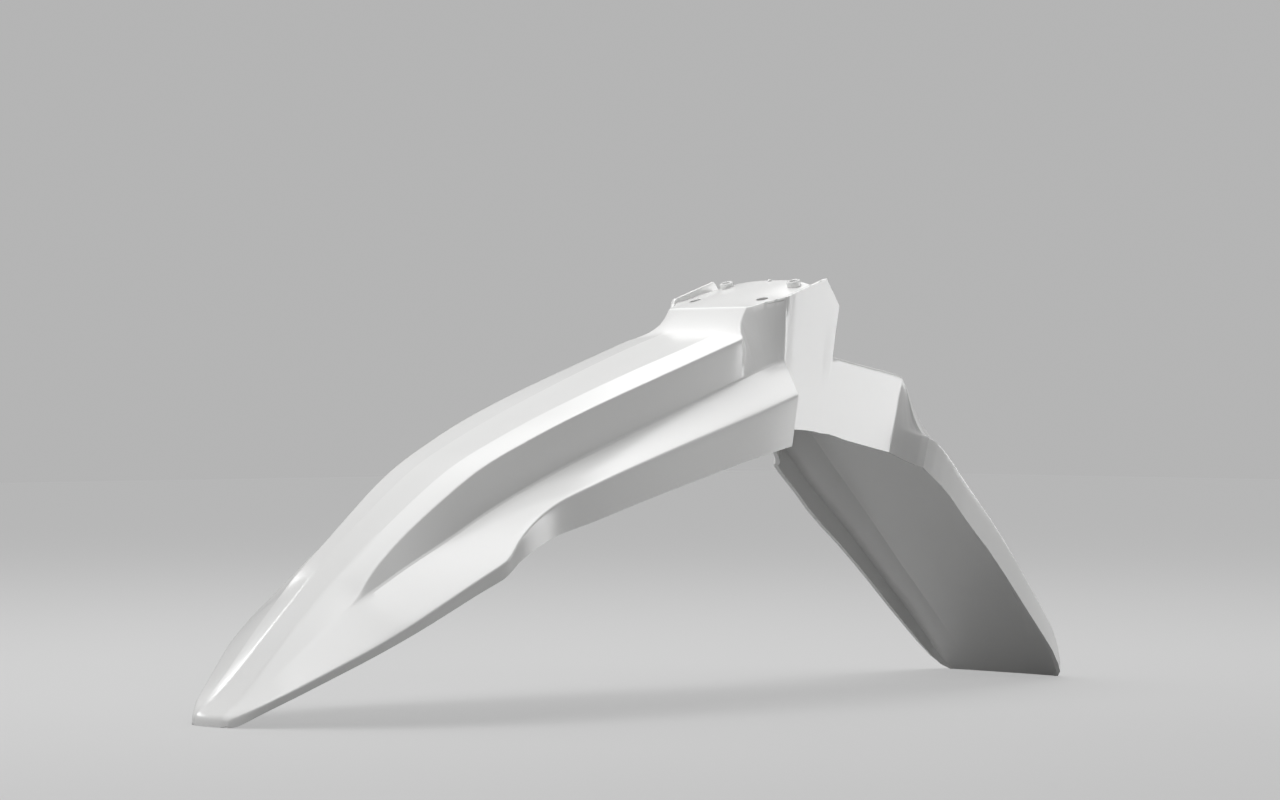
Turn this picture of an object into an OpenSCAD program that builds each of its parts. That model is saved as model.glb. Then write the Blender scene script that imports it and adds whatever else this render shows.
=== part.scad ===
// Front mudguard of an off-road motorcycle: one moulded sheet of even wall, drawn in its resting pose.
// X runs from the nose (-X) to the rear edge (+X), Y is across, Z is up and Z = 0 is the table.

/* [Overall size] */
// Length over the nose and the rear edge, mm
guard_l = 720; // [690:5:760]
// Width over the front wings, mm
front_w = 194; // [180:2:210]
// Width over the side walls of the rear flap, mm
flap_w = 158; // [148:2:166]
// Height of the rear end of the mounting deck above the table, mm
deck_h = 281; // [272:1:290]
// Distance of the rear end of the deck behind the nose, mm
deck_x = 482; // [470:1:494]
// Thickness of the moulded wall, mm
wall_t = 3; // [2.4:0.2:3.4]

/* [Front] */
// Depth of the side skirt at the fork cut, mm
skirt_h = 34; // [26:1:38]
// Depth of the turned-down lip in front of the skirt, mm
lip_h = 10.2; // [9:0.2:12]
// Drop from the centre band to the shelf beside the groove, mm
groove_h = 29.6; // [26:0.2:32]
// Slant of the fork cut, front of its outer corner before its inner one, mm
cut_slant = 20; // [10:1:26]

/* [Deck and waist] */
// Width over the side walls at the ears, mm
waist_w = 114; // [108:1:118]
// Width of the front edge of the deck, mm
deck_front_w = 76; // [70:2:86]
// Length of the deck, measured level, mm
deck_l = 61; // [57:1:64]
// Slope of the deck towards the nose, degrees
deck_pitch = 18; // [15:0.5:20]
// Drop of the deck from its middle to its sides at the rear end, mm
deck_camber = 7; // [3:0.5:8]
// Rise of the ear tips above the deck beside them, mm
ear_h = 8; // [5:0.5:10]
// Thickness of the ears, mm
ear_t = 3.5; // [3:0.1:4.5]
// Length of the ears behind the deck, mm
ear_l = 9; // [7:1:12]

/* [Fixing holes] */
// Diameter of the two front fixing holes, mm
front_hole_d = 8.4; // [6.4:0.2:9]
// Diameter of the two rear fixing holes, mm
rear_hole_d = 6.4; // [5.4:0.2:6.8]
// Distance between the holes across the deck, mm
hole_span_y = 66; // [58:1:70]
// Distance between the front and rear holes along the sloping deck, mm
hole_span_x = 32; // [28:1:34]
// Distance of the rear holes from the rear end of the deck, along the slope, mm
hole_back = 11.5; // [10.5:0.5:13]
// Outer diameter of the raised collar round each rear hole, mm
collar_d = 9.6; // [9:0.2:11]
// Height of the collar tops above the middle of the deck, mm
collar_h = 2.6; // [1.6:0.2:4]
// Diameter of the pip on the middle of the rear end of the deck, mm
pip_d = 3; // [2:0.5:4]

/* [Hidden] */
guard_color = "white";

// Smooth curve through key points [place, value].
function chord(k, i) = (k[i + 1][1] - k[i][1]) / (k[i + 1][0] - k[i][0]);
function lean(k, i) =
    i == 0 ? chord(k, 0) :
    i == len(k) - 1 ? chord(k, i - 1) :
    let (a = k[i][0] - k[i - 1][0], b = k[i + 1][0] - k[i][0])
    (chord(k, i - 1) * b + chord(k, i) * a) / (a + b);
function span(k, x, i = 0) = i >= len(k) - 2 || x < k[i + 1][0] ? i : span(k, x, i + 1);
function cubic(k, x, i) =
    let (h = k[i + 1][0] - k[i][0], t = (x - k[i][0]) / h, s = 1 - t)
    k[i][1] * (1 + 2 * t) * s * s + lean(k, i) * h * t * s * s
    + k[i + 1][1] * (3 - 2 * t) * t * t - lean(k, i + 1) * h * t * t * s;
function curve(k, x) =
    x <= k[0][0] ? k[0][1] :
    x >= k[len(k) - 1][0] ? k[len(k) - 1][1] :
    cubic(k, x, span(k, x));
function mix(a, b, f) = a + (b - a) * f;
function ramp(x, a, b) = let (t = max(0, min(1, (x - a) / (b - a)))) t * t * (3 - 2 * t);
function step_to(a, b, d) = a + (b - a) * d / norm(b - a);
function first_place(k) = k[0][0];
function last_place(k) = k[len(k) - 1][0];

// The key points are written for a guard 720 mm long with its deck at 281 mm and 482 mm behind the nose.

// Crease beside the centre band: height and half width.
crease_z = [[0, 4.2], [4, 4.8], [9, 7.5], [20, 18], [30, 28.5], [60, 58.5], [100, 95.5], [140, 128], [180, 156], [220, 175.5],
    [300, 207.5], [380, 235.5], [398, 241.5], [441, 255.5]];
crease_y = [[0, 13], [30, 11.5], [60, 11.5], [100, 14], [145, 16], [220, 20], [300, 24], [395, 28],
    [430, 24], [560, 20], [720, 18]];
// Outer edge of the nose, wing and skirt.
wing_z = [[0, 6], [10, 10.5], [20, 15], [30, 20.5], [60, 39], [100, 63], [150, 93.5], [160, 99.5], [174, 111],
    [190, 122], [205, 131], [240, 144], [300, 163.5], [360, 182], [400, 194.5], [441, 208]];
wing_y = [[0, 18], [3, 22.5], [10, 29], [25, 39], [47, 54], [70, 69], [95, 79.5], [122, 87], [150, 94.5],
    [160, 97], [174, 91], [190, 86.5], [210, 84.5], [240, 84.5], [300, 85], [441, 88]];
lip_k = [[0, 0.58], [40, 0.58], [80, 0.66], [120, 0.87], [155, 1]];
skirt_k = [[155, 0.3], [165, 0.35], [175, 0.42], [190, 0.5], [200, 0.55], [220, 0.63], [300, 0.745],
    [400, 0.88], [441, 1]];
// Upper edge of the groove: drop below the crease and half width.
groove_drop = [[88, 8], [96, 5], [110, 4], [160, 2.8], [260, 1.8], [340, 2.8], [400, 2.6]];
groove_y = [[88, 38], [105, 35.5], [120, 35], [140, 37], [160, 40], [190, 43.5], [240, 50], [300, 54.5],
    [400, 56.8]];
// Lower edge of the groove: share of the full drop and half width.
shelf_k = [[88, 0.32], [100, 0.455], [120, 0.62], [140, 0.785], [160, 0.92], [185, 0.995], [215, 1], [441, 1]];
shelf_y = [[88, 41], [105, 42.5], [120, 44.5], [150, 48], [200, 52], [300, 57.5], [380, 59], [441, 58.5]];
// Waist: upper and lower edges of its side walls.
waist_z = [[486, 228], [520, 221.5], [546, 216.8], [553, 214.8]];
foot_z = [[441, 179], [455, 178.8], [475, 177.5], [491, 175], [505, 171.5], [520, 168.5], [553, 162.5]];
foot_back = [[486, 9], [520, 11], [553, 13.7]];
// Rear flap: shoulder, outer edge and lower edge of the side walls.
shoulder_z = [[556, 209.5], [560, 201], [567, 189.5], [583, 171.5], [600, 153.5], [620, 132.5], [643, 107],
    [668, 77], [697, 41], [712, 18], [720, 6]];
shoulder_y = [[556, 57], [600, 56], [650, 52], [700, 41], [720, 32]];
flap_z = [[556, 173], [562, 170], [577, 157.5], [597, 138.5], [620, 117.5], [643, 94.5], [668, 67.5],
    [697, 36], [712, 16], [720, 6]];
flap_y = [[556, 76], [562, 77.8], [575, 79], [592, 79], [615, 77.5], [640, 75], [665, 72], [685, 69],
    [700, 66], [711, 61], [717, 56], [720, 52]];
flap_foot_z = [[556, 152], [559, 149.5], [577, 134.5], [597, 114.5], [620, 95], [643, 73.5], [668, 48.5],
    [697, 20.5], [712, 5.5], [720, 0]];

// Places along the guard at which its parts begin and end, in the key points' own millimetres.
rise_u = last_place(groove_drop);
cut_u = last_place(crease_z);
deck_u = first_place(waist_z) - 4;
waist_u = last_place(waist_z);
flap_u = first_place(shoulder_z);
tail_u = last_place(shoulder_z);
// Scales along the guard, ahead of the rear end of the deck and behind it, then in height and width.
kx = deck_x / deck_u;
kr = (guard_l - deck_x) / (tail_u - deck_u);
kz = deck_h / 281;
// The fold of the wing edge takes 0.2 mm off each of its key points.
ky = front_w / 193.6;
kf = flap_w / 158;
half_waist = waist_w / 2;
function place(u) = u <= deck_u ? u * kx : deck_x + (u - deck_u) * kr;
deck_fu = deck_u - deck_l / kx;
deck_fall = tan(deck_pitch) * kx;
ear_tip_u = deck_u - 3;
ear_end_u = deck_u + ear_l / kr;
// Stations behind the deck: foot of its rear face, rear corner of the ears, end of the ears.
deck_foot_u = deck_u + 1.2;
ear_corner_u = deck_u + 1.9;
ear_foot_u = deck_u + 2.6;
// Reach of the collars and the drills below the middle of the deck.
collar_low = -(wall_t + 1);
drill_low = -(wall_t + 0.4 * deck_camber + 1.2);

// Height of the middle of the deck.
function deck_z(u) = deck_h - (deck_u - u) * deck_fall;
// Top line of the front, with the sloped front face of the mount block.
function top_z(u) =
    u < rise_u ? kz * curve(crease_z, u) :
    u < deck_fu ? let (t = (u - rise_u) / (deck_fu - rise_u))
        mix(kz * curve(crease_z, u), deck_z(deck_fu), pow(t, 2.6)) :
    deck_z(u);
// Half width of the block's upper edge: its rising front face in seven steps, then the deck.
rise_us = [for (i = [1:6]) mix(rise_u, deck_fu, i / 7)];
rise_y = [54, 50, 45.5, 41.5, 39, 38];
block_y = [[rise_u, 56.5], for (i = [0:5]) [rise_us[i], rise_y[i]], [deck_fu, deck_front_w / 2],
    [deck_fu + 4, deck_front_w / 2 + 3], [431, 46.5], [436, 51.5], [cut_u, 56.2],
    [cut_u + 3, 57], [deck_u - 4, 57]];
function camber(u) = deck_camber * max(0, u - deck_fu) / (deck_u - deck_fu);
// Top edge of the ears: place along the guard for each station, and height at that place.
ear_path = [[462, 462], [476, ear_tip_u], [deck_u, mix(ear_tip_u, ear_end_u, 0.5)],
    [deck_foot_u, mix(ear_tip_u, ear_end_u, 0.75)], [ear_corner_u, ear_end_u]];
function ear_u(u) = u <= 462 ? u : lookup(u, ear_path);
function ear_z(u) =
    let (tip = deck_z(ear_tip_u) - camber(ear_tip_u) + ear_h)
    u < ear_tip_u ? deck_z(u) - camber(u) + ear_h * (u - deck_fu) / (ear_tip_u - deck_fu) :
    tip - (u - ear_tip_u) * 1.45;

// Fourteen points of half a section, from the middle to the lower edge, for each part of the guard.
// Corners are two short chords wide, so that each fold keeps a radius.
function fold(p, a, b, r) =
    let (q = step_to(p, a, r), s = step_to(p, b, r))
    [q, (q + s + 2 * p) / 4, s];

function front_half(u, ears) =
    let (
        x = place(u),
        cut = ramp(u, 330, cut_u) * cut_slant,
        e = ears ? ramp(u, deck_fu, deck_fu + 10) : 0,
        ay = curve(crease_y, u),
        az = top_z(u),
        dy = ky * curve(wing_y, u),
        dz = kz * curve(wing_z, u),
        tip = max(0, 1 - u / 25),
        nose = ramp(u, 0, 88),
        early = u < 88,
        by = early ? mix(ay, dy, 0.39) : u < rise_u ? curve(groove_y, u) : curve(block_y, u) * half_waist / 57,
        bz = early ? mix(az, dz, 0.39) + 2.6 * nose : az - (u < rise_u ? curve(groove_drop, u) : camber(u)
            + 2.6 * (1 - ramp(u, rise_u, deck_fu))),
        cy = early ? mix(ay, dy, 0.435) : curve(shelf_y, u),
        cz = early ? mix(az, dz, 0.435) + 2.5 * nose :
            kz * curve(crease_z, u) - groove_h * curve(shelf_k, u),
        depth = u < 155 ? lip_h * curve(lip_k, u) : mix(lip_h, skirt_h * curve(skirt_k, u), ramp(u, 150, 185)),
        o = [x, 0, az - 1 * ramp(u, 2, 20) * (1 - ramp(u, rise_u, deck_fu))],
        a = [x, ay, az],
        b = [x, by, bz],
        c = [x - 0.25 * cut, cy, cz],
        d = [x - cut, dy, dz - cut * 0.3],
        f = [x - 1.3 * cut, dy - 3 * (1 - ramp(u, 140, 178)), dz - cut * 0.3 - depth],
        m = mix(a, b, 0.55) + [0, 0, 0.5],
        gap = norm(b - c),
        soft = ramp(u, rise_u, 409) * (1 - ramp(u, 414, deck_fu)),
        block = ramp(u, rise_u, 412) * (1 - ramp(u, 430, 447)),
        wall = mix(b, c, 0.5) + [0, 0.42 * block * (cy - by), 0],
        bb = fold(b, m, wall, min(1.6 + 4 * soft, gap * 0.32)),
        ear = [[x, by - ear_t, bz], [x, by - ear_t + 0.4, ear_z(u)], [x, by, ear_z(u)]],
        shelf = mix(c, d, 0.5) + [0, 0, 1],
        row = concat([o, a, m], [for (i = [0:2]) mix(bb[i], ear[i], e)],
            [wall, step_to(c, wall, min(1.8, gap * 0.25)), step_to(c, d, min(1.8, gap * 0.5))],
            [shelf], fold(d, shelf, f, 1.6), [f])
    )
    [for (p = row) [p[0] + p[1] * p[1] / 200 * tip * tip, p[1], p[2]]];

// Shares of the wall height at which its points lie, at the fork cut and behind the waist.
wall_a = [0.46, 0.5, 0.57, 0.65, 0.72, 0.75, 0.78, 1];
wall_b = [0.2, 0.32, 0.44, 0.55, 0.63, 0.67, 0.7, 1];
function waist_half(u, on_ear, ears) =
    let (
        x = place(u),
        on_deck = u <= deck_u && on_ear,
        bow = ramp(u, 448, deck_u) * (1 - ramp(u, deck_u, 505)),
        tz = on_deck ? deck_z(u) : kz * curve(waist_z, u),
        side_z = on_deck ? tz - camber(u) : tz,
        crown = on_deck ? 0 : 2,
        side_y = on_deck ? min(1, curve(block_y, u) / 57) * half_waist : half_waist,
        corner = [x, side_y, side_z],
        top = [x, side_y, on_deck ? ear_z(u) : side_z],
        foot = [x - (on_ear ? 10 + 4.5 * ramp(u, 470, ear_end_u) : curve(foot_back, u)), half_waist + 1,
            kz * curve(foot_z, u)],
        f = on_deck ? ramp(u, cut_u, waist_u) : max(ramp(u, cut_u, waist_u), 0.6),
        walls = [for (i = [0:7]) mix(top, foot, mix(wall_a[i], wall_b[i], f))],
        tip = u < ear_foot_u ? [place(ear_u(u)), side_y, ear_z(ear_u(u))] : corner,
        set_back = [8 * bow, 0, 0],
        rim = on_ear && ears ? [
            corner - [u < ear_foot_u ? 8 * bow : 0, ear_t, 0],
            tip - [0, ear_t - 0.4, 0],
            tip] :
            [for (p = fold(corner, corner - [0, 10, 0], foot, 1.6)) p - (on_ear ? set_back : [0, 0, 0])]
    )
    concat([[x, 0, tz + crown], [x, 20, tz + crown * 0.8],
        [x - 3 * bow, 38, mix(tz, side_z, 0.4) + crown * 0.5]], rim, walls);

function flap_half(u) =
    let (
        x = place(u),
        by = curve(shoulder_y, u),
        bz = kz * curve(shoulder_z, u),
        dy = kf * curve(flap_y, u),
        dz = kz * curve(flap_z, u),
        fz = kz * curve(flap_foot_z, u),
        out = 3.5 * (1 - ramp(u, flap_u, 600)),
        end = 1 - ramp(u, tail_u - 80, tail_u),
        flank = [for (f = [0.02, 0.08, 0.19, 0.34, 0.52, 0.74])
            [x + out * f, mix(by, dy, f), dz + (bz - dz) * pow(1 - f, 2.3)]],
        d = [x + out, dy, dz],
        f = [x, dy - 2.5 * end, fz]
    )
    concat([[x, 0, bz + 3 * end], [x, curve(crease_y, u), bz + 2.6 * end], [x, 0.72 * by, bz + 1.2 * end],
        [x, by - 1.6, bz]], flank, fold(d, flank[5], f, 1.4), [f]);

front_u = [0, 3, 8, 15, 25, 36, 48, 60, 72, 82, 89, 96, 104, 113, 123, 134, 145, 154, 160, 166, 173, 181,
    190, 200, 212, 226, 242, 260, 280, 300, 320, 340, 358, 374, 387, 396, rise_u, each rise_us, deck_fu,
    deck_fu + 4, 431, 436, cut_u];
deck_us = [cut_u + 2, 450, 459, 467, 476, deck_u, deck_foot_u, ear_corner_u, ear_foot_u];
waist_us = [489, 496, 506, 520, 535, 546, waist_u];
turn_k = [0.14, 0.38, 0.64, 0.86];
flap_us = [flap_u, 562, 570, 580, 592, 606, 621, 637, 653, 669, 684, 697, 707, 714, tail_u];

// Path of the wall that turns outwards behind the fork leg.
function bent(f) = mix(f, 1 - sqrt(1 - f * f), 0.4);
function turn(a, b, f) = [for (i = [0:len(a) - 1])
    [mix(a[i][0], b[i][0], f), mix(a[i][1], b[i][1], bent(f)), mix(a[i][2], b[i][2], f)]];
function halves(ears) = concat(
    [for (u = front_u) front_half(u, ears)],
    [for (u = deck_us) waist_half(u, true, ears)],
    [for (u = waist_us) waist_half(u, false, ears)],
    [for (f = turn_k) turn(waist_half(waist_u, false, ears), flap_half(flap_u), f)],
    [for (u = flap_us) flap_half(u)]);

// Inner skin: each point moves inwards by the wall thickness, square to the sheet on both sides of it.
function unit(v) = v / max(norm(v), 0.001);
function mitre(n, m) = (n + m) / (1 + max(-0.4, n * m));
function side_normal(p, q) = let (v = unit([q[0] - p[0], q[2] - p[2]])) [-v[1], v[0]];
function plan_normal(p, q) = let (v = unit([q[0] - p[0], q[1] - p[1]])) [-v[1], v[0]];
function inner_half(g, i) =
    let (
        h = g[i],
        last = len(g) - 1,
        p = g[max(0, i - 1)],
        q = g[min(last, i + 1)],
        skin = [for (j = [0:13]) let (
            s = i == 0 ? side_normal(h[j], q[j]) : i == last ? side_normal(p[j], h[j]) :
                mitre(side_normal(p[j], h[j]), side_normal(h[j], q[j])),
            w = i == 0 ? plan_normal(h[j], q[j]) : i == last ? plan_normal(p[j], h[j]) :
                mitre(plan_normal(p[j], h[j]), plan_normal(h[j], q[j])),
            a = j < 3 ? 0 : wall_t,
            b = j == 13 ? 0 : wall_t)
            i == 0 || i == last ?
                [h[j][0], h[j][1] - a, j == 13 ? h[j][2] : i == last ? 0 : h[j][2] - h[0][2]] :
                h[j] - [a * w[0] + b * s[0], a * w[1], b * s[1]]]
    )
    [for (j = [0:13]) j == 12 ? mix(skin[11], skin[13], 0.3) : skin[j]];

function whole(h) = concat([for (j = [13:-1:1]) [h[j][0], -h[j][1], h[j][2]]], h);

outer_grid = halves(true);
base_grid = halves(false);
rows = 27;
stations = len(outer_grid);
skin_size = rows * stations;
skin_points = concat(
    [for (h = outer_grid) each whole(h)],
    [for (i = [0:stations - 1]) each whole(inner_half(base_grid, i))]);
function quad(a, b, c, d, flip) = flip ? [[a, b, d], [b, c, d]] : [[a, b, c], [a, c, d]];
skin_faces = concat(
    [for (i = [0:stations - 2], k = [0:rows - 2]) let (n = i * rows + k)
        each quad(n, n + 1, n + rows + 1, n + rows, k < rows / 2 - 1)],
    [for (i = [0:stations - 2], k = [0:rows - 2]) let (n = skin_size + i * rows + k)
        each quad(n, n + rows, n + rows + 1, n + 1, k < rows / 2 - 1)],
    [for (i = [0:stations - 2]) let (n = i * rows)
        each quad(n, n + rows, n + rows + skin_size, n + skin_size, false)],
    [for (i = [0:stations - 2]) let (n = i * rows + rows - 1)
        each quad(n, n + skin_size, n + rows + skin_size, n + rows, false)],
    [for (k = [0:rows - 2]) each quad(k, k + skin_size, k + 1 + skin_size, k + 1, k > rows / 2 - 1)],
    [for (k = [0:rows - 2]) let (n = skin_size - rows + k)
        each quad(n, n + 1, n + 1 + skin_size, n + skin_size, k < rows / 2 - 1)]);

module sheet() {
    color(guard_color) polyhedron(skin_points, skin_faces, 4);
}

module on_deck(back, y) {
    translate([deck_x, y, deck_h])
        rotate([0, -deck_pitch, 0])
            translate([-back, 0, 0])
                children();
}

module collars() {
    r = collar_d / 2;
    color(guard_color)
        for (side = [-1, 1])
            on_deck(hole_back, side * hole_span_y / 2)
                rotate_extrude($fn = 48)
                    polygon([[0, collar_low], [r, collar_low], [r, collar_h - 1], [r - 0.8, collar_h], [0, collar_h]]);
}

module pip() {
    color(guard_color)
        on_deck(pip_d / 2 + 0.5, 0)
            translate([0, 0, -2]) cylinder(d = pip_d, h = 3.6, $fn = 24);
}

module drill(d) {
    translate([0, 0, drill_low]) cylinder(d = d, h = collar_h + 2 - drill_low, $fn = 48);
}

module holes() {
    for (side = [-1, 1]) {
        on_deck(hole_back, side * hole_span_y / 2)
            drill(rear_hole_d);
        on_deck(hole_back + hole_span_x, side * hole_span_y / 2)
            drill(front_hole_d);
    }
}

module mudguard() {
    translate([-guard_l / 2, 0, 0])
        difference() {
            union() {
                sheet();
                collars();
                pip();
            }
            holes();
        }
}

mudguard();
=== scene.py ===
# %% [markdown]
# # A moulded mudguard in gloss white
# The part is one sheet of plastic, about 3 mm thick, that comes out of a single mould. Its look lives in
# long, fair surfaces that meet at crisp folds. This lesson grows the sheet by pulling a section line along the
# guard, lets a subdivision surface carry the curves, and then gives the sheet its wall, its holes and its gloss.

import math

import bmesh
import bpy
from mathutils import Matrix, Vector


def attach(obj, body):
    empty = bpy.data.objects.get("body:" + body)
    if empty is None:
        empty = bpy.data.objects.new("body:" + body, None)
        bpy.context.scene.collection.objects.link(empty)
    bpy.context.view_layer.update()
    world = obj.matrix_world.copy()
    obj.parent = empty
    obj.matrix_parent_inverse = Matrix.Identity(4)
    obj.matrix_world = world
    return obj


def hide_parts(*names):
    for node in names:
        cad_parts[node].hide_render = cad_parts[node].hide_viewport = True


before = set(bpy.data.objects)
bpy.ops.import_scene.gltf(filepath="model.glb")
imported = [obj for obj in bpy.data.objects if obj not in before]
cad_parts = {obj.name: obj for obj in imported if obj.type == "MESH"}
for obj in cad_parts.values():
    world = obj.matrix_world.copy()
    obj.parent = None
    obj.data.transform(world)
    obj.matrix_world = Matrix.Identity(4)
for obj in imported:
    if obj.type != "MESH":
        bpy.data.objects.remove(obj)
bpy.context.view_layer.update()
print("frame nodes:", sorted(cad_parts))

# %% [markdown]
# ## One smooth curve for every edge
# A mould maker fairs each edge from a handful of points. The same idea works here: each edge is a short list of
# (place along the guard, value) pairs in millimetres, and one cubic curve runs through them. A list of finished
# vertices would be longer and would be hard to adjust by eye.

# %% Curves through key points
def fair(keys, x):
    """Value at x of the smooth curve through the key points."""
    if x <= keys[0][0]:
        return keys[0][1]
    if x >= keys[-1][0]:
        return keys[-1][1]
    i = max(n for n in range(len(keys) - 1) if keys[n][0] <= x)
    chord = lambda n: (keys[n + 1][1] - keys[n][1]) / (keys[n + 1][0] - keys[n][0])

    def lean(n):
        if n == 0:
            return chord(0)
        if n == len(keys) - 1:
            return chord(n - 1)
        a, b = keys[n][0] - keys[n - 1][0], keys[n + 1][0] - keys[n][0]
        return (chord(n - 1) * b + chord(n) * a) / (a + b)

    h = keys[i + 1][0] - keys[i][0]
    t = (x - keys[i][0]) / h
    s = 1 - t
    return (keys[i][1] * (1 + 2 * t) * s * s + lean(i) * h * t * s * s
            + keys[i + 1][1] * (3 - 2 * t) * t * t - lean(i + 1) * h * t * t * s)


def mix(a, b, f):
    """A number or a point between a and b."""
    if isinstance(a, (int, float)):
        return a + (b - a) * f
    return Vector(a).lerp(Vector(b), f)


def ramp(x, a, b):
    """0 up to a, 1 from b on, and a soft rise between them."""
    t = max(0, min(1, (x - a) / (b - a)))
    return t * t * (3 - 2 * t)


def toward(a, b, d):
    """The point at distance d from a on the way to b."""
    a, b = Vector(a), Vector(b)
    return a + (b - a).normalized() * d


def fold(p, a, b, r):
    """Three points that turn a corner with a small radius."""
    q, s = toward(p, a, r), toward(p, b, r)
    return [q, (q + s + 2 * Vector(p)) / 4, s]


# %% [markdown]
# ## Driving sizes
# A designer writes the few sizes that the rest hangs on once, each with a name. Places along the guard count from
# the nose, widths from the middle plane and heights from the table, all in millimetres until the sheet is placed.

# %% Sizes of the guard
LENGTH = 720
SHEET = 3
RISE, DECK, CUT, DECK_END = 400, 421, 441, 482  # foot of the block, deck's front, fork cut, deck's rear
DECK_TOP, DECK_SLOPE, DECK_CAMBER = 281, math.radians(18), 7
GROOVE_DEPTH, LIP_DEPTH, SKIRT_DEPTH, CUT_SLANT = 29.6, 10.2, 34, 20
WAIST_Y, WAIST_FOOT_Y = 57, 58
EAR_RISE, EAR_FOOT, EAR_TIP = 8, 3.5, 3.1
print("guard:", LENGTH, "mm long, sheet", SHEET, "mm, deck from", DECK, "to", DECK_END)

# %% [markdown]
# ## The edges of the front half
# From the middle outwards the front has a centre band with a crease, a bright band, a deep groove wall, a shelf,
# and a skirt that starts as a narrow lip at the nose. Heights are above the table, widths from the middle plane.

# %% Key points of the front
CREASE_Z = [(0, 0.4), (0.4, 3.8), (1.4, 6), (3.5, 7.8), (9, 11.2), (20, 19.3), (30, 28.8), (60, 58.5),
            (100, 95.5), (140, 128), (180, 156), (220, 175.5), (300, 207.5), (380, 235.5), (398, 241.5),
            (441, 255.5)]
CREASE_Y = [(0, 13), (30, 11.5), (60, 11.5), (100, 14), (145, 16), (220, 20), (300, 24), (395, 28), (430, 24),
            (560, 20), (720, 18)]
WING_Z = [(0, 1), (0.4, 3.4), (1.4, 5.2), (3.5, 6.8), (10, 10.5), (20, 15), (30, 20.5), (60, 39), (100, 63),
          (150, 93.5), (160, 99.5), (174, 111), (190, 122), (205, 131), (240, 144), (300, 163.5), (360, 182),
          (400, 194.5), (441, 208)]
WING_Y = [(0, 18), (3, 22.5), (10, 29), (25, 39), (47, 54), (70, 69), (95, 79.5), (122, 87), (150, 94.5),
          (160, 97), (174, 91), (190, 86.5), (210, 84.5), (240, 84.5), (300, 85), (441, 88)]
LIP = [(0, 0.58), (40, 0.58), (80, 0.66), (120, 0.87), (155, 1)]
SKIRT = [(155, 0.3), (165, 0.35), (175, 0.42), (190, 0.5), (200, 0.55), (220, 0.63), (300, 0.745), (400, 0.88),
         (441, 1)]
GROOVE_DROP = [(88, 8), (96, 5), (110, 4), (160, 2.8), (260, 1.8), (340, 2.8), (400, 2.6)]
GROOVE_Y = [(88, 38), (105, 35.5), (120, 35), (140, 37), (160, 40), (190, 43.5), (240, 50), (300, 54.5),
            (400, 56.8)]
SHELF_K = [(88, 0.32), (100, 0.455), (120, 0.62), (140, 0.785), (160, 0.92), (185, 0.995), (215, 1), (441, 1)]
SHELF_Y = [(88, 41), (105, 42.5), (120, 44.5), (150, 48), (200, 52), (300, 57.5), (380, 59), (441, 58.5)]
BLOCK_Y = [(400, 56.5), (403, 54), (406, 50), (409, 45.5), (412, 41.5), (415, 39), (418, 38), (421, 38), (425, 41),
           (431, 46.5), (436, 51.5), (441, 56.2), (444, 57), (478, 57)]
EAR_PATH = [(462, 462), (476, 479), (482, 485), (483.2, 488), (483.9, 491)]
deck_z = lambda u: DECK_TOP - (DECK_END - u) * math.tan(DECK_SLOPE)
camber = lambda u: DECK_CAMBER * max(0, u - DECK) / (DECK_END - DECK)


def top_z(u):
    """Height of the crease, which climbs steeply from the foot of the block to the deck."""
    if u < RISE:
        return fair(CREASE_Z, u)
    if u < DECK:
        return mix(fair(CREASE_Z, u), deck_z(DECK), ((u - RISE) / (DECK - RISE)) ** 2.6)
    return deck_z(u)


def ear_u(u):
    """Where along the guard the ear's top edge lies for a station."""
    for (a, p), (b, q) in zip(EAR_PATH, EAR_PATH[1:]):
        if a <= u <= b:
            return mix(p, q, (u - a) / (b - a))
    return u


def ear_z(u):
    """Height of the ear's top edge, which rises to its tip and then falls."""
    tip_u = 479
    if u < tip_u:
        return deck_z(u) - camber(u) + EAR_RISE * (u - DECK) / (tip_u - DECK)
    return deck_z(tip_u) - camber(tip_u) + EAR_RISE - (u - tip_u) * 1.45


# %% [markdown]
# ## Sections
# Half a section has fourteen points at every place along the guard, so the lines that join them stay edges of the
# sheet from nose to tail. Each fold takes three close points, which keeps it crisp once the surface is smoothed.

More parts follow.
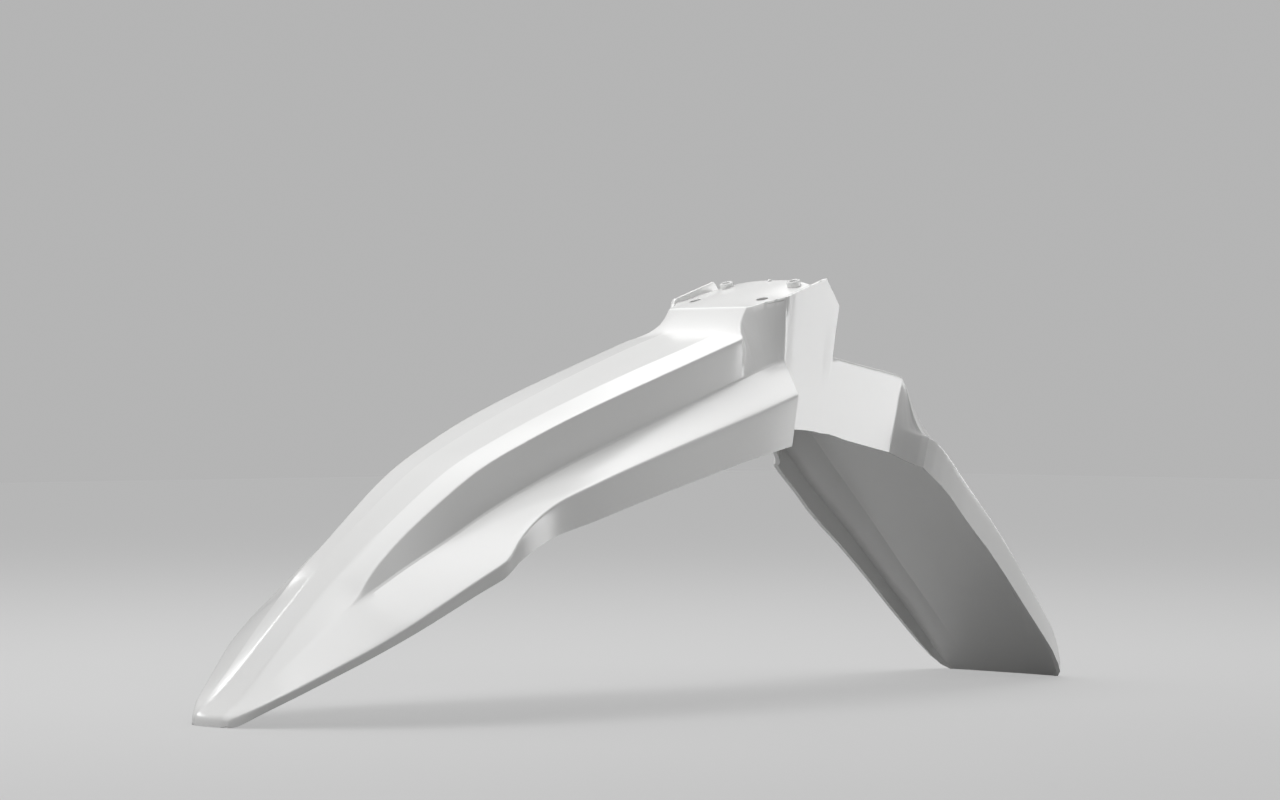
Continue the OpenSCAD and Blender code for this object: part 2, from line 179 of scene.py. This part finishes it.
# %% Front section
def front_line(u):
    """Half a section of the front, from the middle to the foot of the lip or skirt."""
    slant = ramp(u, 330, CUT) * CUT_SLANT
    ear = ramp(u, DECK, DECK + 10)
    tip = max(0, 1 - u / 25)
    ay, az = fair(CREASE_Y, u), top_z(u)
    dy, dz = fair(WING_Y, u), fair(WING_Z, u)
    nose = ramp(u, 0, 88)
    if u < 88:
        by, bz = mix(ay, dy, 0.39), mix(az, dz, 0.39) + 2.6 * nose
        cy, cz = mix(ay, dy, 0.435), mix(az, dz, 0.435) + 2.5 * nose
    else:
        by = fair(GROOVE_Y, u) if u < RISE else fair(BLOCK_Y, u)
        bz = az - (fair(GROOVE_DROP, u) if u < RISE else camber(u) + 2.6 * (1 - ramp(u, RISE, DECK)))
        cy, cz = fair(SHELF_Y, u), fair(CREASE_Z, u) - GROOVE_DEPTH * fair(SHELF_K, u)
    depth = LIP_DEPTH * fair(LIP, u)
    if u >= 155:
        depth = mix(LIP_DEPTH, SKIRT_DEPTH * fair(SKIRT, u), ramp(u, 150, 185))
    a, b = Vector((u, ay, az)), Vector((u, by, bz))
    c = Vector((u - 0.25 * slant, cy, cz))
    d = Vector((u - slant, dy, dz - slant * 0.3))
    tuck = 3 * ramp(u, 0, 25) * (1 - ramp(u, 140, 178))
    foot = Vector((u - 1.3 * slant, dy - tuck, dz - slant * 0.3 - depth))
    if u < 60:
        foot.z = max(foot.z, 0.1)
    m = mix(a, b, 0.55) + Vector((0, 0, 0.1))
    gap = (b - c).length
    soft = ramp(u, RISE, 409) * (1 - ramp(u, 414, DECK))
    groove = mix(b, c, 0.5)
    edge = fold(b, m, groove, min(0.9 + 1.8 * soft, gap * 0.32))
    ears = [(u, by - EAR_FOOT, bz), (u, by - EAR_TIP, ear_z(u)), (u, by, ear_z(u))]
    shelf = mix(c, d, 0.5) + Vector((0, 0, 0.1))
    line = [(u, 0, az - 0.5 * (1 - ramp(u, 0, 130)) * ramp(u, 0, 12)), a, m]
    line += [mix(p, q, ear) for p, q in zip(edge, ears)]
    line += [groove, toward(c, groove, min(1, gap * 0.25)), toward(c, d, min(1, gap * 0.5)), shelf]
    line += fold(d, shelf, foot, min(1.2, 0.4 * (d - foot).length)) + [foot]
    return [Vector((p[0] + p[1] * p[1] / 90 * tip * tip, p[1], p[2])) for p in line]


# %% [markdown]
# ## Deck, waist and rear flap
# Behind the fork cut the skirt is gone: the side wall drops straight down past the fork leg. The deck carries an
# ear on each side. Then the wall turns outwards behind the fork leg and becomes the flap's side strip.

# %% Waist and flap sections
WAIST_Z = [(486, 228), (520, 221.5), (546, 216.8), (553, 214.8)]
FOOT_Z = [(441, 179), (455, 178.8), (475, 177.5), (491, 175), (505, 171.5), (520, 168.5), (553, 162.5)]
FOOT_BACK = [(486, 9), (520, 11), (553, 13.7)]
SHOULDER_Z = [(556, 209.5), (560, 201), (567, 189.5), (583, 171.5), (600, 153.5), (620, 132.5), (643, 107),
              (668, 77), (697, 41), (712, 17), (720, 1.5)]
SHOULDER_Y = [(556, 57), (600, 56), (650, 52), (700, 41), (720, 32)]
FLAP_Z = [(556, 173), (562, 170), (577, 157.5), (597, 138.5), (620, 117.5), (643, 94.5), (668, 67.5), (697, 36),
          (712, 15.5), (720, 1.5)]
FLAP_Y = [(556, 76), (562, 77.8), (575, 79), (592, 79), (615, 77.5), (640, 75), (665, 72), (685, 69), (700, 66),
          (711, 61), (717, 56), (720, 51)]
FLAP_FOOT_Z = [(556, 152), (559, 149.5), (577, 134.5), (597, 114.5), (620, 95), (643, 73.5), (668, 48.5),
               (697, 20.5), (712, 5.5), (720, -1)]
WALL_A = [0.46, 0.5, 0.57, 0.65, 0.72, 0.75, 0.78, 1]
WALL_B = [0.2, 0.32, 0.44, 0.55, 0.63, 0.67, 0.7, 1]


def waist_line(u, on_ear):
    """Half a section between the fork legs: with the ear beside the deck, or of the plain waist behind it."""
    on_deck = u <= DECK_END and on_ear
    bow = ramp(u, 448, DECK_END) * (1 - ramp(u, DECK_END, 505))
    tz = deck_z(u) if on_deck else fair(WAIST_Z, u)
    side_z = tz - camber(u) if on_deck else tz
    crown = 0 if on_deck else 2
    y = min(WAIST_Y, fair(BLOCK_Y, u)) if on_deck else WAIST_Y
    corner = Vector((u, y, side_z))
    top = Vector((u, y, ear_z(u))) if on_deck else corner
    back = 10 + 4.5 * ramp(u, 470, 491) if on_ear else fair(FOOT_BACK, u)
    foot = Vector((u - back, WAIST_FOOT_Y, fair(FOOT_Z, u)))
    f = ramp(u, CUT, 553)
    f = f if on_deck else max(f, 0.6)
    last = u > 484
    if on_ear:
        tip = corner if last else Vector((ear_u(u), y, ear_z(ear_u(u))))
        ear = [corner - Vector((0 if last else 8 * bow, EAR_FOOT, 0)), tip - Vector((0, EAR_TIP, 0)), tip]
    else:
        ear = fold(corner, corner - Vector((0, 10, 0)), foot, 1.6)
    line = [(u, 0, tz + crown), (u, 20, tz + crown * 0.8), (u - 3 * bow, 38, mix(tz, side_z, 0.4) + crown * 0.5)]
    side = [mix(top, foot, mix(a, b, f)) for a, b in zip(WALL_A, WALL_B)]
    for p in side:
        p.y = y + (WAIST_FOOT_Y - y) * ramp(230 - p.z, 0, 60)
    return [Vector(p) for p in line + ear] + side


def flap_line(u):
    """Half a section of the rear flap, with its flank and side strip."""
    by, bz = fair(SHOULDER_Y, u), fair(SHOULDER_Z, u)
    dy, dz, fz = fair(FLAP_Y, u), fair(FLAP_Z, u), fair(FLAP_FOOT_Z, u)
    out, end = 3.5 * (1 - ramp(u, 556, 600)), 1 - ramp(u, 640, 720)
    flank = [Vector((u + out * f, mix(by, dy, f), dz + (bz - dz) * (1 - f) ** 2.3))
             for f in (0.02, 0.08, 0.19, 0.34, 0.52, 0.74)]
    d, foot = Vector((u + out, dy, dz)), Vector((u, dy - 2.5 * end, fz))
    line = [(u, 0, bz + 3 * end), (u, fair(CREASE_Y, u), bz + 2.6 * end), (u, 0.72 * by, bz + 1.2 * end),
            (u, by - 1.6, bz)]
    return [Vector(p) for p in line] + flank + fold(d, flank[5], foot, 1.4) + [foot]


# %% [markdown]
# ## Stations
# Sections stand close together where the form turns quickly, at the nose, the block and the turn behind the fork
# leg, and far apart on the long plain stretches.

# %% All the sections, from nose to tail
front_at = [0, 0.4, 1.4, 3.5, 8, 15, 25, 36, 48, 60, 72, 82, 89, 96, 104, 113, 123, 134, 145, 154, 160, 166, 173,
            181, 190, 200, 212, 226, 242, 260, 280, 300, 320, 340, 358, 374, 387, 395, 400, 403, 406, 409, 412,
            415, 418, 421, 425, 431, 436, 441]
deck_at = [443, 450, 459, 467, 476, 482, 483.2, 483.9, 484.6]
waist_at = [489, 496, 506, 520, 535, 546, 553]
flap_at = [556, 562, 570, 580, 592, 606, 621, 637, 653, 669, 684, 697, 707, 714, 720]
sections = [("front", u, front_line(u)) for u in front_at]
sections += [("deck", u, waist_line(u, True)) for u in deck_at]
sections += [("waist", u, waist_line(u, False)) for u in waist_at]
before, after = waist_line(553, False), flap_line(556)
for f in (0.14, 0.38, 0.64, 0.86):
    swing = mix(f, 1 - math.sqrt(1 - f * f), 0.4)
    turn = [Vector((mix(a.x, b.x, f), mix(a.y, b.y, swing), mix(a.z, b.z, f))) for a, b in zip(before, after)]
    sections.append(("turn", 553 + 3 * f, turn))
sections += [("flap", u, flap_line(u)) for u in flap_at]
print("sections:", len(sections), "points in each half:", len(sections[0][2]))

# %% [markdown]
# ## Growing the sheet
# The first section is drawn as a line of edges. Each next one is an extrusion of that line, moved to its place,
# the way a modeller pulls a strip along. Edges that stay crisp get a crease value, so the subdivision surface
# smooths the panels and leaves the folds alone.

# %% Extrude the section line along the guard
def crease_of(kind, u, j):
    """Crease of the lengthwise edge at point j of a section."""
    if kind == "front":
        top = mix(0.75, 1, ramp(u, 110, 150)) - ramp(u, 398, 415)
        return {1: top, 3: 0.9, 5: 0.9, 7: 1, 8: 1, 10: 0.7, 12: 0.7}.get(j, 0)
    if kind == "deck":
        return 0.8 if j in (3, 4, 5) else 0
    if kind == "waist":
        return {3: 0.5, 5: 0.5}.get(j, 0)
    if kind == "turn":
        return {3: 0.4, 4: 0.4}.get(j, 0)
    return {1: 0.5, 3: 0.4, 4: 0.4, 10: 0.5, 12: 0.5}.get(j, 0)


# Section lines that stay crisp: first and last edge of the run across the sheet, and the crease.
RINGS = {400: (5, 7, 1), 421: (0, 5, 0.8), 441: (5, 14, 1), 443: (5, 14, 1), 482: (0, 5, 1), 483.2: (0, 5, 1),
         483.9: (3, 5, 1), 484.6: (3, 5, 1)}

sheet = bmesh.new()
crease = sheet.edges.layers.float.new("crease_edge")
row = [sheet.verts.new(p) for p in sections[0][2]]
line = [sheet.edges.new(pair) for pair in zip(row, row[1:])]
for kind, u, points in sections[1:]:
    made = bmesh.ops.extrude_edge_only(sheet, edges=line)["geom"]
    fresh = {g for g in made if isinstance(g, bmesh.types.BMVert)}
    ahead = [next(e.other_vert(v) for e in v.link_edges if e.other_vert(v) in fresh) for v in row]
    for j, (v, p) in enumerate(zip(ahead, points)):
        v.co = p
        edge = sheet.edges.get((row[j], v))
        edge[crease] = crease_of(kind, u, j)
        edge.smooth = not (kind == "front" and (j == 1 and 130 < u < 412 or j in (7, 8) and 96 < u < 441))
    row = ahead
    line = [sheet.edges.get(pair) for pair in zip(row, row[1:])]
    if u in RINGS:
        first, last, weight = RINGS[u]
        for edge in line[first:last]:
            edge[crease] = weight
            edge.smooth = u != 400
pinned = sheet.verts.layers.float.new("crease_vert")
for v in sheet.verts:
    if v.co.x > 718:
        v[pinned] = 1
print("half sheet:", len(sheet.faces), "faces")

# %% [markdown]
# ## Both halves, then metres
# The mudguard is the same left and right, so the half is mirrored over the middle plane and welded there. The
# section points were in millimetres with the nose at zero; the last step puts the sheet where the frame has it.

# %% Mirror, weld and place
bmesh.ops.mirror(sheet, geom=sheet.verts[:] + sheet.edges[:] + sheet.faces[:], axis="Y", merge_dist=0.001)
bmesh.ops.translate(sheet, verts=sheet.verts, vec=(-LENGTH / 2, 0, 0))
bmesh.ops.scale(sheet, verts=sheet.verts, vec=(0.001, 0.001, 0.001))
bmesh.ops.recalc_face_normals(sheet, faces=sheet.faces)
middle = min(sheet.faces, key=lambda f: (f.calc_center_median() - Vector((-0.1, 0, 0.18))).length)
if middle.normal.z < 0:
    bmesh.ops.reverse_faces(sheet, faces=sheet.faces)
mesh = bpy.data.meshes.new("mudguard_skin")
sheet.to_mesh(mesh)
sheet.free()
skin = bpy.data.objects.new("mudguard_skin", mesh)
bpy.context.collection.objects.link(skin)
print("whole cage:", len(mesh.polygons), "faces")

# %% [markdown]
# ## Surface and wall
# Two levels of subdivision turn the cage into the fair surface, and Solidify gives the sheet its 3 mm wall on the
# inside, so the outer face stays where it was drawn. The two feet, at the nose and the rear edge, are then trimmed
# level with the table.

# %% Subdivide and thicken
def finished(obj):
    """Applies an object's modifiers and keeps it at the origin."""
    seen = obj.evaluated_get(bpy.context.evaluated_depsgraph_get())
    solid = bpy.data.meshes.new_from_object(seen)
    obj.modifiers.clear()
    obj.data = solid
    return obj


smooth = skin.modifiers.new("surface", "SUBSURF")
smooth.levels = smooth.render_levels = 2
inside = skin.modifiers.new("sheet", "SOLIDIFY")
inside.thickness = SHEET / 1000
inside.offset = -1
inside.use_rim = True
finished(skin)
bm = bmesh.new()
bm.from_mesh(skin.data)
everything = bm.verts[:] + bm.edges[:] + bm.faces[:]
trim = bmesh.ops.bisect_plane(bm, geom=everything, plane_co=(0, 0, 0), plane_no=(0, 0, 1), clear_inner=True)
trimmed = [g for g in trim["geom_cut"] if isinstance(g, bmesh.types.BMEdge)]
bmesh.ops.holes_fill(bm, edges=trimmed, sides=0)
print("sheet with its wall:", len(bm.faces), "faces, trimmed level along", len(trimmed), "edges")
bm.to_mesh(skin.data)
bm.free()

# %% [markdown]
# ## Fixing holes
# Four holes go square through the sloping deck. Round cutters taken away with a Boolean give clean bores through
# the finished wall, which a hole drawn into the cage could not keep round.

# %% Drill the deck
HOLE_SIDE = 0.033
REAR_HOLE, FRONT_HOLE = (0.0115, 0.0032), (0.0435, 0.0042)  # distance from the deck's rear, radius


def on_deck(bm, back, side):
    """Moves a shape made round the origin to its place on the sloping deck, in metres."""
    bmesh.ops.translate(bm, verts=bm.verts, vec=(-back, 0, 0))
    bmesh.ops.rotate(bm, verts=bm.verts, cent=(0, 0, 0), matrix=Matrix.Rotation(-DECK_SLOPE, 3, "Y"))
    bmesh.ops.translate(bm, verts=bm.verts, vec=((DECK_END - LENGTH / 2) / 1000, side, DECK_TOP / 1000))


def piece(name, bm):
    """Makes an object of a finished bmesh."""
    data = bpy.data.meshes.new(name)
    bm.to_mesh(data)
    bm.free()
    obj = bpy.data.objects.new(name, data)
    bpy.context.collection.objects.link(obj)
    return obj


for back, radius in (REAR_HOLE, FRONT_HOLE):
    for side in (-HOLE_SIDE, HOLE_SIDE):
        bm = bmesh.new()
        bmesh.ops.create_cone(bm, cap_ends=True, segments=64, radius1=radius, radius2=radius, depth=0.014)
        on_deck(bm, back, side)
        cutter = piece("cutter", bm)
        bore = skin.modifiers.new("hole", "BOOLEAN")
        bore.operation = "DIFFERENCE"
        bore.solver = "EXACT"
        bore.object = cutter
        finished(skin)
        bpy.data.objects.remove(cutter)
for polygon in skin.data.polygons:
    polygon.use_smooth = True
bm = bmesh.new()
bm.from_mesh(skin.data)
for edge in bm.edges:
    if len(edge.link_faces) == 2 and edge.calc_face_angle() > math.radians(38):
        edge.smooth = False
print("drilled sheet:", len(bm.faces), "faces,", sum(not e.smooth for e in bm.edges), "sharp edges")
bm.to_mesh(skin.data)
bm.free()

# %% [markdown]
# ## Collars and pip
# The rear holes have small raised collars, and the deck's rear edge has a pip in the middle. A collar is a profile
# spun once round, which gives its rounded rim and its bore in one go.

# %% Spin the collars
pieces = []
for side, name in ((-HOLE_SIDE, "collar_left"), (HOLE_SIDE, "collar_right")):
    bm = bmesh.new()
    profile = [(3.2, -3.5), (3.2, 1.8), (3.3, 2.3), (3.7, 2.6), (4.1, 2.6), (4.5, 2.3), (4.75, 1.8), (4.8, 1.2),
               (4.8, -3.5)]
    row = [bm.verts.new((r / 1000, 0, h / 1000)) for r, h in profile]
    for pair in zip(row, row[1:] + row[:1]):
        bm.edges.new(pair)
    bmesh.ops.spin(bm, geom=bm.verts[:] + bm.edges[:], cent=(0, 0, 0), axis=(0, 0, 1), angle=math.tau,
                   steps=64, use_merge=True)
    bmesh.ops.recalc_face_normals(bm, faces=bm.faces)
    on_deck(bm, REAR_HOLE[0], side)
    pieces.append(piece(name, bm))
bm = bmesh.new()
bmesh.ops.create_uvsphere(bm, u_segments=32, v_segments=16, radius=0.0015)
on_deck(bm, 0.002, 0)
pieces.append(piece("deck_pip", bm))
for obj in pieces:
    for polygon in obj.data.polygons:
        polygon.use_smooth = True
    obj.data.set_sharp_from_angle(angle=math.radians(50))
print("small pieces:", [obj.name for obj in pieces])


# %% [markdown]
# ## Shader maths
# One small class wraps a socket, so a finish reads like arithmetic. Colours go through Mix, and any other node
# comes from one method that takes its type, its settings and its inputs.

# %% Sockets as numbers
class Wire:
    """A socket that can be used in arithmetic."""

    def __init__(self, tree, socket):
        self.tree, self.socket = tree, socket

    def node(self, kind, settings=None, **inputs):
        made = self.tree.nodes.new(kind)
        for key, value in (settings or {}).items():
            setattr(made, key, value)
        for key, value in inputs.items():
            target = made.inputs[int(key[1:])] if key[0] == "i" and key[1:].isdigit() else made.inputs[
                key.replace("_", " ")]
            if isinstance(value, Wire):
                self.tree.links.new(value.socket, target)
            else:
                target.default_value = value
        return made

    def math(self, operation, other, swap=False):
        a, b = (other, self) if swap else (self, other)
        return Wire(self.tree, self.node("ShaderNodeMath", {"operation": operation}, i0=a, i1=b).outputs[0])

    def __add__(self, o):
        return self.math("ADD", o)

    __radd__ = __add__

    def __mul__(self, o):
        return self.math("MULTIPLY", o)

    __rmul__ = __mul__

    def __sub__(self, o):
        return self.math("SUBTRACT", o)

    def __rsub__(self, o):
        return self.math("SUBTRACT", o, True)

    def blend(self, first, second):
        """Colour between two, by this value."""
        made = self.node("ShaderNodeMix", {"data_type": "RGBA"}, i0=self, i6=first, i7=second)
        return Wire(self.tree, made.outputs[2])


def noise(wire, place, scale, detail):
    """Value of a noise of the given scale."""
    return Wire(wire.tree, wire.node("ShaderNodeTexNoise", {}, Vector=place, Scale=scale, Detail=detail).outputs[0])


# %% [markdown]
# ## Gloss white plastic
# Injection-moulded polypropylene has a clean white body, a tight reflection and the faintest ripple where the
# sheet shrank in the mould. A broad noise shifts the white by a hair, a finer one the roughness, and a very low
# bump bends the reflections.

# %% The finish
def gloss_white(name):
    """The one finish of the guard."""
    material = bpy.data.materials.new(name)
    material.use_nodes = True
    tree = material.node_tree
    shader = next(n for n in tree.nodes if n.type == "BSDF_PRINCIPLED")
    shader.inputs["IOR"].default_value = 1.5
    shader.inputs["Coat Roughness"].default_value = 0.04
    start = Wire(tree, None)
    place = Wire(tree, start.node("ShaderNodeTexCoord").outputs["Object"])
    cloud = noise(start, place, 9, 2)
    grain = noise(start, place, 420, 3)
    ripple = noise(start, place, 26, 1)
    tone = cloud.blend((0.82, 0.82, 0.81, 1), (0.87, 0.87, 0.865, 1))
    tree.links.new(tone.socket, shader.inputs["Base Color"])
    tree.links.new((0.13 + 0.06 * grain + 0.03 * cloud).socket, shader.inputs["Roughness"])
    bump = start.node("ShaderNodeBump", {}, Strength=0.12, Distance=0.0006, Height=ripple + 0.01 * grain)
    tree.links.new(bump.outputs[0], shader.inputs["Normal"])
    return material


white = gloss_white("gloss_white_plastic")
for obj in [skin] + pieces:
    obj.data.materials.clear()
    obj.data.materials.append(white)
    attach(obj, "root")
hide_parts("mudguard")
print("finish:", white.name)

# %% [markdown]
# ## Table, lamps and camera
# A plain pale table and five soft lamps. The big one overhead is mirrored by the bright band along the crease and
# ends just short of what the middle of the guard mirrors. A strip beside it lights the shelf, a low one on the
# right the waist wall, one in front the nose, and a narrow one behind draws a thin line along the far crease. The
# low lamp has a narrow beam, as from a honeycomb grid, so that it doesn't burn out the table in front of it.

# %% Table
bm = bmesh.new()
bmesh.ops.create_grid(bm, x_segments=1, y_segments=1, size=6)
table = piece("table", bm)


def seen_as(tree, shown, other, target):
    """Links a colour that the camera sees to a socket, and another one that the light meets."""
    start = Wire(tree, None)
    eye = Wire(tree, start.node("ShaderNodeLightPath").outputs["Is Camera Ray"])
    tree.links.new(eye.blend(other, shown).socket, target)


cloth = bpy.data.materials.new("pale_table")
cloth.use_nodes = True
cloth_shader = next(n for n in cloth.node_tree.nodes if n.type == "BSDF_PRINCIPLED")
cloth_shader.inputs["Roughness"].default_value = 0.95
cloth_shader.inputs["Specular IOR Level"].default_value = 0.1
cloth_shader.inputs["Emission Strength"].default_value = 1
seen_as(cloth.node_tree, (0.18, 0.18, 0.18, 1), (0.4, 0.4, 0.4, 1), cloth_shader.inputs["Base Color"])
seen_as(cloth.node_tree, (0.42, 0.42, 0.42, 1), (0, 0, 0, 1), cloth_shader.inputs["Emission Color"])
table.data.materials.append(cloth)


# %% Lamps
def lamp(name, place, target, size, power, turn=0, spread=180):
    """An area lamp that looks at its target, turned about Z, with its beam's width in degrees."""
    data = bpy.data.lights.new(name, "AREA")
    data.shape = "RECTANGLE"
    data.size, data.size_y = size
    data.energy = power
    data.spread = math.radians(spread)
    obj = bpy.data.objects.new(name, data)
    obj.location = place
    obj.rotation_euler = (Vector(target) - Vector(place)).to_track_quat("-Z", "Y").to_euler()
    obj.rotation_euler.z += math.radians(turn)
    bpy.context.collection.objects.link(obj)
    return obj


lamp("overhead_softbox", (0.127, 0.54, 1.25), (0.127, 0.54, 0), (2.5, 1.4), 15.4, turn=14)
lamp("shelf_strip", (-0.05, 0.31, 1.2), (-0.05, 0.31, 0), (1.65, 0.42), 4.5, turn=-13)
lamp("right_softbox", (1.266, -0.841, 0.25), (0.17, 0.183, 0.17), (0.8, 0.5), 1, spread=60)
lamp("front_softbox", (-1.3, 0.3, 0.9), (-0.2, 0, 0.12), (0.7, 0.7), 2.8)
lamp("back_strip", (-0.35, 2.5, 1.3), (-0.35, 0, 0.1), (0.9, 0.3), 4)
world = bpy.data.worlds.new("studio")
bpy.context.scene.world = world
world.use_nodes = True
sky = world.node_tree.nodes["Background"]
seen_as(world.node_tree, (0.46, 0.46, 0.46, 1), (0.24, 0.24, 0.24, 1), sky.inputs["Color"])
sky.inputs["Strength"].default_value = 1

# %% Camera
CAMERA_PLACE = (-1.808, -1.972, 0.200)
CAMERA_TURN = -42.5
camera_data = bpy.data.cameras.new("camera")
camera_data.lens = 112.5
camera_data.sensor_width = 36
camera_data.shift_y = -0.0016
camera = bpy.data.objects.new("camera", camera_data)
camera.location = CAMERA_PLACE
camera.rotation_euler = (math.radians(90), 0, math.radians(CAMERA_TURN))
bpy.context.collection.objects.link(camera)
bpy.context.scene.camera = camera
bpy.context.scene.view_settings.view_transform = "Standard"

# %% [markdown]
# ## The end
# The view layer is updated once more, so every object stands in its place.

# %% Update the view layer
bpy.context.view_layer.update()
